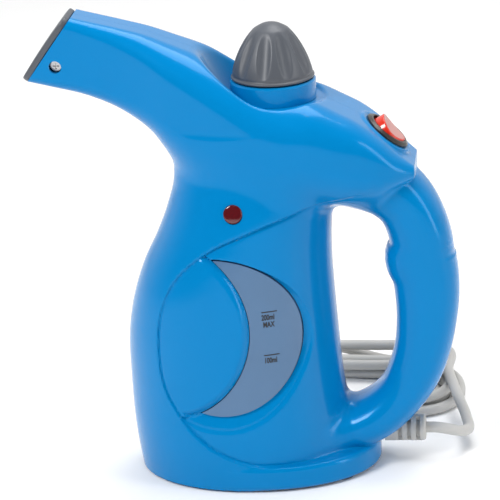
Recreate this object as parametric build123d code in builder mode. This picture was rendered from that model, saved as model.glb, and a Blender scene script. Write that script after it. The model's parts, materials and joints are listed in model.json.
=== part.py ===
"""Handheld garment steamer, modelled as the pieces it comes apart into.

Frame: millimetres, origin on the table under the centre of the base, +Z up, +X towards the handle,
so the nozzle points to -X and the marked side of the water tank faces -Y.
The blue housing is two half shells that meet on the XZ plane. They hold a clear tank with a heater
under it, a steam pipe up to the nozzle, a screw-in filler cap, a rocker switch and the mains lead.
"""

from build123d import *
from math import cos, radians, sin
import os

os.makedirs("parts", exist_ok=True)

# Driving dimensions
WALL = 2.2                      # housing wall
HALF_GAP = 0.05                 # each half shell stops this far from the middle plane
TANK_WALL = 2.0
FOOT_LENGTH, FOOT_WIDTH = 61.0, 45.0    # half sizes of the oval foot
FOOT_LOW, FOOT_HIGH = 1.0, 13.0

CAP_X = 14.0                    # axis of the filler neck and cap
CAP_RADIUS = 20.4
CAP_LOW, CAP_HIGH = 202.7, 230.0
COLLAR_RADIUS, COLLAR_TOP = 21.0, 202.0
DECK_LEVEL = 192.2              # floor of the round pocket the collar stands in
POCKET_RADIUS = 24.5
NECK_RADIUS, NECK_BORE = 16.4, 13.6
NECK_TOP = 199.5
THREAD_PITCH = 3.0

MOUTH = Plane(origin=(-94.5, 0, 220.0), x_dir=(0, 1, 0), z_dir=(-0.802, 0, 0.597))
MOUTH_WIDTH, MOUTH_HEIGHT = 25.8, 38.2

SWITCH_TILT = 39.3              # the switch looks up and back, this far from straight up
SWITCH_SEAT = Plane(
    origin=(68.9, 0, 173.8), x_dir=(cos(radians(SWITCH_TILT)), 0, -sin(radians(SWITCH_TILT))),
    z_dir=(sin(radians(SWITCH_TILT)), 0, cos(radians(SWITCH_TILT))),
)
SWITCH_HOLE = 11.05
BEZEL_RADIUS = 12.2
ROCKER_TILT = 12.0              # the rocker rests this far from level
ROCKER_PIVOT = -2.5             # below the seat
CONTACT_TILT = 5.0

LENS_X, LENS_Z, LENS_RADIUS = -4.7, 143.5, 4.6
TANK_LOW = 36.0
TANK_X = -10.75                 # centre of the oval foot of the tank
TANK_LENGTH, TANK_WIDTH = 49.25, 38.5
RISER_X = -16.0
CORD_RADIUS = 2.8
BOOT_Z = 16.8
PLUG_Y, PLUG_Z = 135.0, 9.0

# Water window: one circle with a second circle bitten out of it, in the XZ plane
WINDOW_CENTRE, WINDOW_RADIUS = (-14.0, 79.9), 40.2
BITE_CENTRE, BITE_RADIUS = (-46.0, 83.5), 46.7
PAD_DEPTH = 2.3

# Level ovals of the body: height, front x, rear x, half width
BODY = [
    (2, -62.0, 50.0, 44.0),
    (20, -64.0, 47.0, 44.5),
    (45, -65.0, 43.5, 43.5),
    (80, -63.5, 41.0, 42.5),
    (110, -53.5, 39.5, 40.0),
    (140, -40.5, 42.0, 36.0),
    (165, -37.5, 44.0, 29.0),
]
# Upright sections of nozzle, shoulder and tail: x, low z, high z, half width, corner radius
UPPER = [
    (-114, 206.5, 244.0, 12.5, 4.5),
    (-95, 202.0, 239.5, 13.0, 5.0),
    (-75, 196.0, 234.5, 14.0, 7.0),
    (-55, 186.0, 229.5, 17.0, 10.5),
    (-38, 172.0, 224.0, 22.0, 15.0),
    (-20, 155.0, 217.0, 28.0, 19.0),
    (-8, 149.0, 208.5, 31.0, 21.0),
    (4, 145.0, 200.0, 33.5, 22.0),
    (20, 142.0, 195.5, 35.0, 22.0),
    (35, 141.0, 193.5, 34.5, 21.0),
    (48, 142.0, 187.5, 32.0, 18.0),
    (60, 144.0, 180.5, 29.0, 14.0),
    (73, 148.0, 169.5, 23.0, 9.0),
    (81, 152.0, 160.0, 15.0, 3.5),
]
# Handle, from the tail down to the foot: x, z, heading below +X, half depth, half width
HANDLE = [
    (62.0, 152.0, 20, 15.0, 19.0),
    (74.0, 142.0, 50, 14.5, 18.0),
    (82.0, 124.0, 78, 15.5, 17.0),
    (84.5, 109.0, 88, 17.0, 16.5),
    (86.5, 90.0, 92, 16.0, 16.5),
    (85.0, 68.0, 97, 15.0, 16.5),
    (79.0, 48.0, 112, 14.0, 17.0),
    (67.0, 32.0, 140, 12.5, 18.0),
    (54.0, 22.0, 155, 12.5, 20.0),
    (38.0, 18.0, 170, 12.0, 21.0),
]
# Tank: height, front x, rear x, half width
TANK = [
    (36, -60.0, 38.5, 38.5),
    (46, -60.0, 38.3, 38.5),
    (62, -59.7, 37.3, 38.2),
    (80, -58.0, 36.0, 37.5),
    (110, -48.5, 34.5, 35.0),
    (135, -36.5, 35.0, 31.0),
    (155, -24.0, 34.0, 25.0),
    (172, -7.0, 32.0, 18.5),
    (182, -2.7, 30.7, 16.7),
]
# Screws that join the half shells: x, z
HOUSING_SCREWS = [(-57.0, 20.0), (-31.0, 172.0), (-30.0, 211.0), (48.0, 172.0), (84.5, 118.0), (81.0, 56.0)]
NOZZLE_SCREW = (-91.0, 212.6)


def ring(plane, outer, inner, height):
    """A plain tube or washer standing on a plane."""
    with BuildPart() as tube:
        with BuildSketch(plane):
            Circle(outer)
            Circle(inner, mode=Mode.SUBTRACT)
        extrude(amount=height)
    return tube.part


def rod(plane, radius, height):
    """A plain solid cylinder standing on a plane."""
    with BuildPart() as bar:
        with BuildSketch(plane):
            Circle(radius)
        extrude(amount=height)
    return bar.part


def level(x, z, y=0.0):
    """A level plane at a point."""
    return Plane.XY.offset(z).move(Location((x, y, 0)))


def across(x, z, y=0.0):
    """An upright plane whose normal runs along +Y."""
    return Plane(origin=(x, y, z), x_dir=(1, 0, 0), z_dir=(0, 1, 0))


def pipe(points, radius):
    """A round bar along a smooth line through the points, one short curve from each point to the next."""
    knots = [Vector(*point) for point in points]
    steps = [after - before for before, after in zip(knots, knots[1:])]
    headings = [steps[0].normalized()]
    for before, after in zip(steps, steps[1:]):
        headings.append((before * (after.length / before.length) + after * (before.length / after.length)).normalized())
    headings.append(steps[-1].normalized())
    curves = []
    for index, step in enumerate(steps):
        reach = step.length * 0.35
        near, far = knots[index], knots[index + 1]
        curves.append(Edge.make_bezier(near, near + headings[index] * reach, far - headings[index + 1] * reach, far))
    route = Wire(curves)
    with BuildPart() as bar:
        with BuildSketch(Plane(origin=route @ 0, z_dir=route % 0)):
            Circle(radius)
        sweep(path=route)
    return bar.part


# Forms that the housing is cut from


def oval_loft(sections, inset):
    """A solid through level ovals, drawn in by inset all round."""
    with BuildPart() as form:
        for height, front, rear, width in sections:
            plane = Plane(origin=((front + rear) / 2, 0, height), x_dir=(0, 1, 0), z_dir=(0, 0, 1))
            with BuildSketch(plane):
                Ellipse(width - inset, (rear - front) / 2 - inset)
        loft()
    return form.part


def upper_loft(inset):
    with BuildPart() as form:
        for x, low, high, width, corner in UPPER:
            plane = Plane(origin=(x, 0, (low + high) / 2), x_dir=(0, 1, 0), z_dir=(1, 0, 0))
            with BuildSketch(plane):
                RectangleRounded(2 * (width - inset), high - low - 2 * inset, max(corner - inset, 0.8))
        loft()
    return form.part


def handle_loft(inset):
    with BuildPart() as form:
        for x, z, heading, depth, width in HANDLE:
            along = (cos(radians(heading)), 0, -sin(radians(heading)))
            with BuildSketch(Plane(origin=(x, 0, z), x_dir=(0, 1, 0), z_dir=along)):
                Ellipse(width - inset, depth - inset)
        loft()
    return form.part


def half(form):
    """The part of a form on the marked side of the middle plane."""
    with BuildPart() as piece:
        add(form)
        with Locations((0, -100 - HALF_GAP, 120)):
            Box(400, 200, 400, mode=Mode.INTERSECT)
    return piece.part


def foot_form(inset, low, high):
    with BuildPart() as foot:
        with BuildSketch(Plane.XY.offset(low)):
            Ellipse(FOOT_LENGTH - inset, FOOT_WIDTH - inset)
        extrude(amount=high - low)
        if inset == 0:
            fillet(foot.edges().group_by(Axis.Z)[-1], 4.0)
            fillet(foot.edges().group_by(Axis.Z)[0], 1.2)
    return foot.part


def crescent(grow):
    """The window's outline, grown or shrunk all round, cut right across the body."""
    with BuildPart() as slab:
        with BuildSketch(across(0, 0, -60)) as outline:
            with Locations((WINDOW_CENTRE[0], -WINDOW_CENTRE[1])):
                Circle(WINDOW_RADIUS + grow)
            with Locations((BITE_CENTRE[0], -BITE_CENTRE[1])):
                Circle(BITE_RADIUS - grow, mode=Mode.SUBTRACT)
        extrude(amount=120)
    return slab.part


def beyond_mouth():
    with BuildPart() as block:
        with BuildSketch(MOUTH):
            Rectangle(120, 120)
        extrude(amount=60)
    return block.part


def lens_plane(depth):
    """A plane across the signal lens, this far outside the wall."""
    return Plane(origin=(LENS_X, -35.2, LENS_Z), x_dir=(1, 0, 0), z_dir=(0, -0.963, 0.27)).offset(depth)


# Half shells: the left one carries the signal lens, the right one takes the screw heads
SLEEVE = Plane(origin=(56, 0, BOOT_Z), x_dir=(0, 1, 0), z_dir=(1, 0, 0))
BASE_SCREWS = [(-30, 33.8), (20, 35.5)]


def half_shell():
    """What both halves share, on the marked side."""
    pocket = rod(level(CAP_X, DECK_LEVEL - WALL), POCKET_RADIUS + WALL, 60)
    outer = half(oval_loft(BODY, 0)) + half(upper_loft(0)) + half(handle_loft(0))
    outer = outer + half(foot_form(0, FOOT_LOW, FOOT_HIGH)) + half(rod(SWITCH_SEAT.offset(-4), 14.0, 4))
    outer = outer + half(rod(SLEEVE, 8.4, 8))
    inner = half(oval_loft(BODY, WALL)) + (half(upper_loft(WALL)) - pocket)
    inner = inner + half(handle_loft(WALL)) + half(foot_form(WALL, 0, FOOT_HIGH - WALL))
    shell = outer - inner
    for x, z in HOUSING_SCREWS + [NOZZLE_SCREW]:
        shell = shell + (half(rod(across(x, z, -60), 3.6, 120)) & outer)
    shell = shell + half(rod(SLEEVE, 8.4, 8))
    for x, y in BASE_SCREWS:
        shell = shell + rod(level(x, 3.5, -y), 3.6, 11) + Pos(x, 1.8 - y - 4.6, 7.5) * Box(3, 2.8, 8)
        shell = shell - rod(level(x, 3.0, -y), 1.3, 10)
    shell = shell - rod(level(CAP_X, DECK_LEVEL), POCKET_RADIUS, 60) - rod(level(CAP_X, 180), 19.1, 20)
    shell = shell - rod(SWITCH_SEAT.offset(-30), SWITCH_HOLE, 40) - rod(SWITCH_SEAT, BEZEL_RADIUS + 0.6, 12)
    shell = shell - crescent(0) - beyond_mouth()
    shell = shell - rod(SLEEVE.offset(-2), 6.8, 6) - rod(SLEEVE.offset(-2), 5.6, 12)
    return shell - rod(SLEEVE.offset(7), 6.8, 30)


shared_half = half_shell()
housing_left = shared_half
housing_right = mirror(shared_half, about=Plane.XZ)
for x, z in HOUSING_SCREWS:
    housing_left = housing_left - rod(across(x, z, -11.5), 1.52, 12)
    housing_right = housing_right - rod(across(x, z, -1), 1.65, 12) - rod(across(x, z, 8), 3.4, 60)
x, z = NOZZLE_SCREW
housing_left = housing_left - rod(across(x, z, -8), 1.65, 9) - rod(across(x, z, -68), 3.2, 60)
housing_left = housing_left - rod(lens_plane(-12), LENS_RADIUS + 0.05, 24)
housing_right = housing_right - rod(across(x, z, -1), 1.52, 10)


def screw(plane, head_radius, head_height, shank_radius, length):
    """A cross-head screw whose head stands on the plane and whose shank runs the other way."""
    with BuildPart() as fastener:
        with BuildSketch(plane):
            Circle(head_radius)
        extrude(amount=head_height)
        with BuildSketch(plane):
            Circle(shank_radius)
        extrude(amount=-length)
        with BuildSketch(plane.offset(head_height)):
            Rectangle(head_radius * 1.2, 0.6)
            Rectangle(0.6, head_radius * 1.2)
        extrude(amount=-0.9, mode=Mode.SUBTRACT)
    return fastener.part


with BuildPart() as housing_screws:
    for x, z in HOUSING_SCREWS:
        add(screw(across(x, z, 8), 2.9, 2.2, 1.5, 18))

with BuildPart() as nozzle_screw:
    plane = Plane(origin=(NOZZLE_SCREW[0], -8, NOZZLE_SCREW[1]), x_dir=(1, 0, 0), z_dir=(0, -1, 0))
    add(screw(plane, 2.7, 2.0, 1.5, 15))

with BuildPart() as base_cover:
    with BuildSketch(Plane.XY.offset(1.2)):
        Ellipse(FOOT_LENGTH - WALL - 0.15, FOOT_WIDTH - WALL - 0.15)
    extrude(amount=2.2)
    with BuildSketch(Plane.XY.offset(3.0)):
        with Locations((-46, 21), (-46, -21), (26, 23.8), (26, -23.8)):
            Circle(3.0)
    extrude(amount=26.4)
    with BuildSketch(Plane.XY.offset(1.2)):
        with Locations((-42, 22), (-42, -22), (42, 22), (42, -22), (0, 0)):
            Circle(2.05)
        with Locations((-30, 33.8), (-30, -33.8), (20, 35.5), (20, -35.5)):
            Circle(1.65)
    extrude(amount=2.2, mode=Mode.SUBTRACT)
    with BuildSketch(Plane.XY.offset(1.2)):
        with Locations((-30, 33.8), (-30, -33.8), (20, 35.5), (20, -35.5)):
            Circle(2.7)
    extrude(amount=1.2, mode=Mode.SUBTRACT)

with BuildPart() as rubber_feet:
    with Locations((-42, 22, 0.6), (-42, -22, 0.6), (42, 22, 0.6), (42, -22, 0.6), (0, 0, 0.6)):
        Cylinder(6.0, 1.2)
    with Locations((-42, 22, 2.3), (-42, -22, 2.3), (42, 22, 2.3), (42, -22, 2.3), (0, 0, 2.3)):
        Cylinder(2.0, 2.2)

with BuildPart() as base_screws:
    for x, y in [(-30, 33.8), (-30, -33.8), (20, 35.5), (20, -35.5)]:
        add(screw(Plane(origin=(x, y, 2.4), z_dir=(0, 0, -1)), 2.4, 0.9, 1.25, 9))

# Steam nozzle

with BuildPart() as nozzle_face:
    with BuildSketch(MOUTH.offset(0.4)):
        RectangleRounded(MOUTH_WIDTH, MOUTH_HEIGHT, 5.0)
    extrude(amount=1.6)
    with BuildSketch(MOUTH.offset(2.0)):
        RectangleRounded(MOUTH_WIDTH, MOUTH_HEIGHT, 5.0)
    with BuildSketch(MOUTH.offset(3.0)):
        RectangleRounded(MOUTH_WIDTH - 1.6, MOUTH_HEIGHT - 1.6, 4.6)
    with BuildSketch(MOUTH.offset(3.5)):
        RectangleRounded(MOUTH_WIDTH - 6, MOUTH_HEIGHT - 6, 3.5)
    loft()
    with BuildSketch(MOUTH.offset(-2.0)):
        RectangleRounded(MOUTH_WIDTH - 2 * WALL - 0.6, MOUTH_HEIGHT - 5.4, 3.0)
    extrude(amount=2.6)
    with BuildSketch(MOUTH.offset(-3)):
        with Locations((0, -8.5)):
            with GridLocations(3.4, 3.6, 4, 2):
                Circle(0.9)
    extrude(amount=10, mode=Mode.SUBTRACT)

with BuildPart() as nozzle_seal:
    with BuildSketch(MOUTH.offset(-4.0)):
        with Locations((0, -8.5)):
            RectangleRounded(18.0, 12.0, 3.0)
            RectangleRounded(13.6, 7.8, 2.0, mode=Mode.SUBTRACT)
    extrude(amount=2.0)

DUCT_START = Plane(origin=(-66.0, 0, 215.4), x_dir=(0, 1, 0), z_dir=(-0.907, 0, 0.421))
with BuildPart() as nozzle_duct:
    with BuildSketch(DUCT_START):
        Circle(5.0)
    with BuildSketch(MOUTH.offset(-4.0)):
        with Locations((0, -8.5)):
            RectangleRounded(17.0, 11.0, 3.0)
    loft()
    with BuildSketch(DUCT_START):
        Circle(4.0)
    extrude(amount=-9)
    with BuildSketch(DUCT_START):
        Circle(2.8)
    with BuildSketch(MOUTH.offset(-4.0)):
        with Locations((0, -8.5)):
            RectangleRounded(14.0, 8.0, 2.0)
    loft(mode=Mode.SUBTRACT)
    with BuildSketch(DUCT_START):
        Circle(2.8)
    extrude(amount=-9, mode=Mode.SUBTRACT)

# Water tank, open at the bottom, with a raised pad that fills each window of the housing


def tank_form(inset, pad_gap, pad_depth):
    form = oval_loft(TANK, inset)
    pads = crescent(-pad_gap) & oval_loft(BODY, pad_depth)
    return form + pads


tank = tank_form(0, 0.4, PAD_DEPTH) + rod(level(CAP_X, 178), NECK_RADIUS, NECK_TOP - 178)
tank = tank - tank_form(TANK_WALL, 0.4 + TANK_WALL, PAD_DEPTH + TANK_WALL)


def thread(radius, depth, root, crest, low, turns):
    """A helical ridge on a round wall: depth is outward on a shaft and negative inside a bore."""
    bury = -0.3 if depth > 0 else 0.3
    with BuildPart() as ridge:
        with BuildLine() as path:
            Helix(pitch=THREAD_PITCH, height=THREAD_PITCH * turns, radius=radius)
        with BuildSketch(Plane(origin=path.line @ 0, x_dir=(1, 0, 0), z_dir=path.line % 0)):
            with BuildLine():
                Polyline((bury, -root / 2), (depth, -crest / 2), (depth, crest / 2), (bury, root / 2), close=True)
            make_face()
        sweep(is_frenet=True)
    return ridge.part.moved(Location((CAP_X, 0, low)))


tank = tank - rod(level(CAP_X, 170), NECK_BORE, 40) + thread(NECK_BORE, -1.2, 1.3, 0.6, 188.5, 3)
tank = tank - rod(level(RISER_X, 140), 4.05, 40)


def oval(length, width, low, high, length_in=0.0, width_in=0.0):
    """An oval plate or ring under the tank."""
    with BuildPart() as piece:
        with BuildSketch(Plane.XY.offset(low)):
            with Locations((TANK_X, 0)):
                Ellipse(length, width)
                if length_in:
                    Ellipse(length_in, width_in, mode=Mode.SUBTRACT)
        extrude(amount=high - low)
    return piece.part


tank_seal = oval(49.0, 38.3, 34.5, 36.0, 46.5, 35.8)
heater_plate = oval(49.0, 38.3, 31.5, 34.5) + oval(46.2, 35.45, 34.0, 38.0)
clamp_ring = oval(51.0, 40.2, 29.5, 31.5, 45.0, 34.3) + oval(51.0, 40.2, 31.0, 38.5, 49.5, 38.8)

with BuildPart() as heating_element:
    with BuildLine() as path:
        CenterArc((TANK_X, 0, 28.2), 22.0, 25, 310)
    with BuildSketch(Plane(origin=path.line @ 0, z_dir=path.line % 0)):
        Circle(3.2)
    sweep()

with BuildPart() as element_pins:
    for angle in (25, 335):
        x = TANK_X + 22 * cos(radians(angle))
        y = 22 * sin(radians(angle))
        add(rod(level(x, 16.0, y), 1.3, 8.9))

with BuildPart() as thermostat:
    with Locations((TANK_X, 0, 27.5)):
        Cylinder(9.0, 8.0)
    with Locations((TANK_X, 6.5, 21.0), (TANK_X, -6.5, 21.0)):
        Box(6.3, 0.8, 6.0)

with BuildPart() as thermal_fuse:
    with Locations(Location((TANK_X - 14.0, 0, 29.2), (90, 0, 0))):
        Cylinder(2.2, 12.0)
        Cylinder(0.6, 22.0)

with BuildPart() as boiling_cup:
    with BuildSketch(Plane.XZ):
        with BuildLine():
            Polyline((0, 38), (24, 38), (24, 46), (20, 54), (6, 58), (6, 66), (0, 66), close=True)
        make_face()
        with BuildLine():
            Polyline((0, 37), (22.4, 37), (22.4, 45.5), (19, 52.4), (3.2, 56), (3.2, 58), (0, 58), close=True)
        make_face(mode=Mode.SUBTRACT)
        with BuildLine():
            Polyline((0, 57), (3.2, 57), (3.2, 59), (4.05, 59), (4.05, 67), (0, 67), close=True)
        make_face(mode=Mode.SUBTRACT)
    revolve(axis=Axis.Z)
    with Locations((0, 0, 40)):
        Box(60, 4, 3, mode=Mode.SUBTRACT)
        Box(4, 60, 3, mode=Mode.SUBTRACT)
boiling_cup.part.position = (RISER_X, 0, 0)

steam_riser = ring(level(RISER_X, 59.0), 4.0, 2.8, 115.0)

HOSE = [(RISER_X, 0, 169.5), (RISER_X, 0, 172.0), (RISER_X, 0, 174.5), (-17.6, 0, 184.0), (-28.0, 0, 198.5), (-43.0, 0, 205.5), (-51.0, 0, 208.4), (-57.9, 0, 211.6)]
steam_hose = pipe(HOSE, 5.4)
steam_hose = steam_hose - pipe(HOSE, 4.1)

# Filler collar and cap

with BuildPart() as filler_collar:
    with BuildSketch(Plane.XZ):
        with BuildLine():
            Polyline(
                (17.5, 187.8), (22.8, 187.8), (22.8, 189.9), (19.0, 189.9), (19.0, 192.3), (COLLAR_RADIUS, 192.3),
                (COLLAR_RADIUS, COLLAR_TOP - 0.8), (COLLAR_RADIUS - 0.8, COLLAR_TOP), (17.5, COLLAR_TOP), close=True,
            )
        make_face()
    revolve(axis=Axis.Z)
filler_collar.part.position = (CAP_X, 0, 0)

cap_gasket = ring(level(CAP_X, NECK_TOP), 16.3, 13.8, 1.7)

with BuildPart() as cap_plug:
    with BuildSketch(Plane.XZ):
        with BuildLine():
            Polyline(
                (3.0, 184), (12.0, 184), (12.0, 201.2), (17.0, 201.2), (17.0, 203.9), (7.5, 203.9), (7.5, 212.8),
                (5.5, 212.8), (5.5, 203.9), (1.0, 203.9), (1.0, 201.2), (8.5, 201.2), (8.5, 187), (3.0, 187), close=True,
            )
        make_face()
    revolve(axis=Axis.Z)
cap_plug = cap_plug.part.moved(Location((CAP_X, 0, 0))) + thread(12.0, 1.3, 1.5, 0.7, 187, 3)

with BuildPart() as cap_knob:
    with BuildSketch(Plane.XZ):
        with BuildLine():
            Line((0, CAP_LOW + 1.4), (17.1, CAP_LOW + 1.4))
            Line((17.1, CAP_LOW + 1.4), (17.1, CAP_LOW))
            Line((17.1, CAP_LOW), (CAP_RADIUS, CAP_LOW))
            Line((CAP_RADIUS, CAP_LOW), (CAP_RADIUS, CAP_LOW + 1.2))
            Line((CAP_RADIUS, CAP_LOW + 1.2), (19.7, CAP_LOW + 1.3))
            Spline(
                (19.7, CAP_LOW + 1.3), (18.9, 208.7), (17.0, 214.3), (14.4, 219.4), (11.0, 224.7), (8.4, 226.9),
                (5.2, 228.7), (2.6, 229.7), (0, CAP_HIGH), tangents=((-0.1, 1), (-1, 0)),
            )
            Line((0, CAP_HIGH), (0, CAP_LOW + 1.4))
        make_face()
    revolve(axis=Axis.Z)
    with BuildSketch(Plane.XY.offset(CAP_LOW)):
        Circle(13.0)
        Circle(7.6, mode=Mode.SUBTRACT)
    extrude(amount=11, mode=Mode.SUBTRACT)
    with BuildSketch(Plane.XY.offset(CAP_LOW)):
        Circle(7.6)
    extrude(amount=10.2, mode=Mode.SUBTRACT)
    for flute in range(10):
        turn = Location((0, 0, 0), (0, 0, -98 + 36 * flute))
        with Locations(turn * Location(Plane(origin=(19.4, 0, 217.7), z_dir=(-0.443, 0, 0.897)))):
            Cylinder(5.2, 60, mode=Mode.SUBTRACT)
cap_knob.part.position = (CAP_X, 0, 0)

with BuildPart() as relief_poppet:
    with Locations((CAP_X, 0, 188)):
        Cylinder(5.2, 2)
    with Locations((CAP_X, 0, 193)):
        Cylinder(1.8, 8)

with BuildPart() as relief_spring:
    with BuildLine() as path:
        Helix(pitch=2.2, height=11.2, radius=3.6, center=(CAP_X, 0, 189.5))
    with BuildSketch(Plane(origin=path.line @ 0, z_dir=path.line % 0)):
        Circle(0.45)
    sweep(is_frenet=True)

# Rocker switch, laid out square to its seat and then tipped back on to the tail


def on_seat(part):
    return part.moved(Location(SWITCH_SEAT))


with BuildPart() as switch_case:
    with BuildSketch(Plane.XZ):
        with BuildLine():
            Polyline(
                (9.7, 1.9), (10.6, 1.9), (BEZEL_RADIUS, 0.9), (BEZEL_RADIUS, 0), (10.95, 0), (10.95, -22), (0, -22),
                (0, -20), (9.7, -20), close=True,
            )
        make_face()
    revolve(axis=Axis.Z)
    with Locations(Location((0, 0, ROCKER_PIVOT), (90, 0, 0))):
        Cylinder(1.55, 30, mode=Mode.SUBTRACT)
    with Locations((-6, 0, -21), (0, 0, -21), (6, 0, -21)):
        Box(1.0, 5.0, 4.0, mode=Mode.SUBTRACT)
    with Locations((0, 5.2, -17), (0, -5.2, -17)):
        Box(3.0, 1.2, 8.0)
    with Locations(Location((0, 0, -13.6), (90, 0, 0))):
        Cylinder(0.85, 12, mode=Mode.SUBTRACT)
switch_body = on_seat(switch_case.part)

with BuildPart() as rocker:
    with BuildSketch(Plane.XZ):
        with BuildLine():
            Polyline((0, -4.5), (8.5, -4.5), (9.35, 0), (8.15, 6.9), (0, 6.9), close=True)
        make_face()
    revolve(axis=Axis.Z)
    with Locations(Location((0, 0, 28.0), (90, 0, 0))):
        Cylinder(22.6, 40, mode=Mode.SUBTRACT)
    with Locations(Location((0, 0, 0), (90, 0, 0))):
        Cylinder(1.5, 21.4)
    with Locations((0, 0, -6.5)):
        Cylinder(1.6, 5.0)
rocker_place = Location((0, 0, ROCKER_PIVOT), (0, ROCKER_TILT, 0))
switch_rocker = on_seat(rocker.part.moved(rocker_place))

with BuildPart() as blade:
    with Locations((0, 0, 1.4)):
        Box(15.0, 4.0, 0.8)
    with Locations(Location((0, 0, 0), (90, 0, 0))):
        Cylinder(0.8, 11.5)
    with Locations((0, 0, 0.6)):
        Box(1.2, 4.0, 1.4)
contact_place = Location((0, 0, -13.6), (0, -CONTACT_TILT, 0))
switch_contact = on_seat(blade.part.moved(contact_place))

with BuildPart() as terminals:
    with Locations((-6, 0, -23), (0, 0, -23), (6, 0, -23)):
        Box(0.8, 4.8, 10.0)
switch_terminals = on_seat(terminals.part)

# Signal lens and lamp

lens_flange = rod(lens_plane(-4.4), 5.6, 2.4) & oval_loft(BODY, WALL + 0.05)
indicator_lens = rod(lens_plane(-4.0), LENS_RADIUS, 4.6) + lens_flange - rod(lens_plane(-6), 1.6, 3.4)
indicator_lamp = rod(lens_plane(-5.2), 1.5, 2.4)

# Mains lead

BOOT = Plane(origin=(0, 0, BOOT_Z), x_dir=(0, 1, 0), z_dir=(1, 0, 0))
with BuildPart() as strain_relief:
    with BuildSketch(BOOT.offset(56.2)):
        Circle(6.7)
    extrude(amount=3.7)
    with BuildSketch(BOOT.offset(59.0)):
        Circle(5.5)
    extrude(amount=5.0)
    with BuildSketch(BOOT.offset(63.2)):
        Circle(6.7)
    extrude(amount=20.8)
    fillet(strain_relief.edges().group_by(Axis.X)[-1], 1.5)
    for slot in range(3):
        with BuildSketch(BOOT.offset(70.0 + 4.6 * slot)):
            Circle(8.0)
            Circle(4.6, mode=Mode.SUBTRACT)
            Rectangle(3.0, 20.0, mode=Mode.SUBTRACT)
        extrude(amount=2.0, mode=Mode.SUBTRACT)
    with BuildSketch(BOOT.offset(50)):
        Circle(CORD_RADIUS + 0.04)
    extrude(amount=40, mode=Mode.SUBTRACT)

with BuildPart() as cord_clamp:
    with Locations((50, 0, 16.8)):
        Box(5.0, 14.0, 7.6)
    with Locations(Location((50, 0, BOOT_Z), (0, 90, 0))):
        Cylinder(CORD_RADIUS + 0.04, 10, mode=Mode.SUBTRACT)

cord_lead = rod(BOOT.offset(44), CORD_RADIUS, 40)

COIL_TURNS = 5.0
COIL_X, COIL_Y = 30.0, 84.0
COIL_LENGTH, COIL_WIDTH = 69.2, 42.0


def ramp(value, low, high):
    """Rises smoothly from 0 to 1 between two values."""
    share = min(max((value - low) / (high - low), 0.0), 1.0)
    return share * share * (3 - 2 * share)


def coil_point(turn):
    """A point on the loosely coiled lead: turn 0 is the outer loop on the floor, turn 5 is on top."""
    inward = 7.2 * min(turn, 2.0) + 6.8 * ramp(turn, 2.0, 2.2) - 9.0 * max(turn - 2.45, 0.0)
    height = 3.05 + 5.95 * ramp(turn, 2.2, 2.5) + 5.95 * ramp(turn, 4.5, 4.95)
    angle = radians(40 + 360 * (COIL_TURNS - turn))
    east = cos(angle) * (1.25 - 0.25 * cos(angle) ** 2)
    north = sin(angle) * (0.86 + 0.3 * cos(angle) ** 2)
    return (COIL_X + (COIL_LENGTH - inward) * east, COIL_Y + (COIL_WIDTH - inward) * north, height)


lead_in = [(84, 0, BOOT_Z), (88, 0, BOOT_Z), (94, 0.6, BOOT_Z - 1), (100, 3, 13.6), (104.6, 12, 10.6), (103.5, 28, 10.8)]
lead_in = lead_in + [(99.5, 46, 12.8), (95.5, 64, 14.8), (92.5, 82, 15.2)]
loops = [coil_point(COIL_TURNS - step / 10) for step in range(0, int(COIL_TURNS * 10) + 1)]
lead_out = [(66, 122.0, 3.4), (46, 129.0, 5.4), (32, PLUG_Y - 1, 8.0), (22, PLUG_Y, PLUG_Z), (17, PLUG_Y, PLUG_Z)]
lead_out = lead_out + [(12, PLUG_Y, PLUG_Z)]
power_cord = pipe(lead_in + loops + lead_out, CORD_RADIUS)


def plug_plane(x):
    return Plane(origin=(x, PLUG_Y, PLUG_Z), x_dir=(0, 1, 0), z_dir=(-1, 0, 0))


with BuildPart() as plug_body:
    for x, width, height, corner in [
        (14, 8.4, 8.4, 3.4), (0, 11, 10.6, 4.2), (-10, 24, 14, 5.2), (-24, 34, 17.4, 6.5), (-35, 35.5, 18, 7)
    ]:
        with BuildSketch(plug_plane(x)):
            RectangleRounded(width, height, corner)
    loft(ruled=True)
    with BuildSketch(plug_plane(20)):
        Circle(CORD_RADIUS + 0.3)
    extrude(amount=8.5, mode=Mode.SUBTRACT)
    with BuildSketch(plug_plane(-25)):
        with Locations((-9.5, 0), (9.5, 0)):
            Circle(2.05)
    extrude(amount=20, mode=Mode.SUBTRACT)

with BuildPart() as plug_pins:
    with BuildSketch(plug_plane(-35.3)):
        with Locations((-9.5, 0), (9.5, 0)):
            Circle(2.4)
    extrude(amount=18.7)
    fillet(plug_pins.edges().group_by(Axis.X)[0], 1.0)
    with BuildSketch(plug_plane(-25.5)):
        with Locations((-9.5, 0), (9.5, 0)):
            Circle(2.0)
    extrude(amount=9.8)

# Inner wiring: mains to switch, switch to thermostat, neutral to the element
wire_live = pipe(
    [(43.4, 2.5, 17), (40, 4, 20), (44, 6, 23.5), (52, 6, 24.5), (60, 6, 28.5), (67, 6, 40), (74, 6, 56), (78, 6, 75),
     (79, 6, 92), (78.5, 6, 108), (78, 6, 124), (73, 6, 137), (65, 6, 146), (58.5, 5, 150)], 0.9)
wire_switched = pipe(
    [(52, -5, 149), (63, -6, 147.5), (73, -6, 137), (78, -6, 124), (78.5, -6, 108), (79, -6, 92), (78, -6, 75),
     (74, -6, 56), (66, -6, 38), (58, -6, 26.5), (46, -6, 23), (30, -12, 18), (8, -10, 14), (TANK_X, -6.5, 17)], 0.9)
wire_neutral = pipe([(43.4, -2.5, 17), (30, -1, 12), (16, 5, 12), (9.2, 9.3, 14.9)], 0.9)

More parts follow.
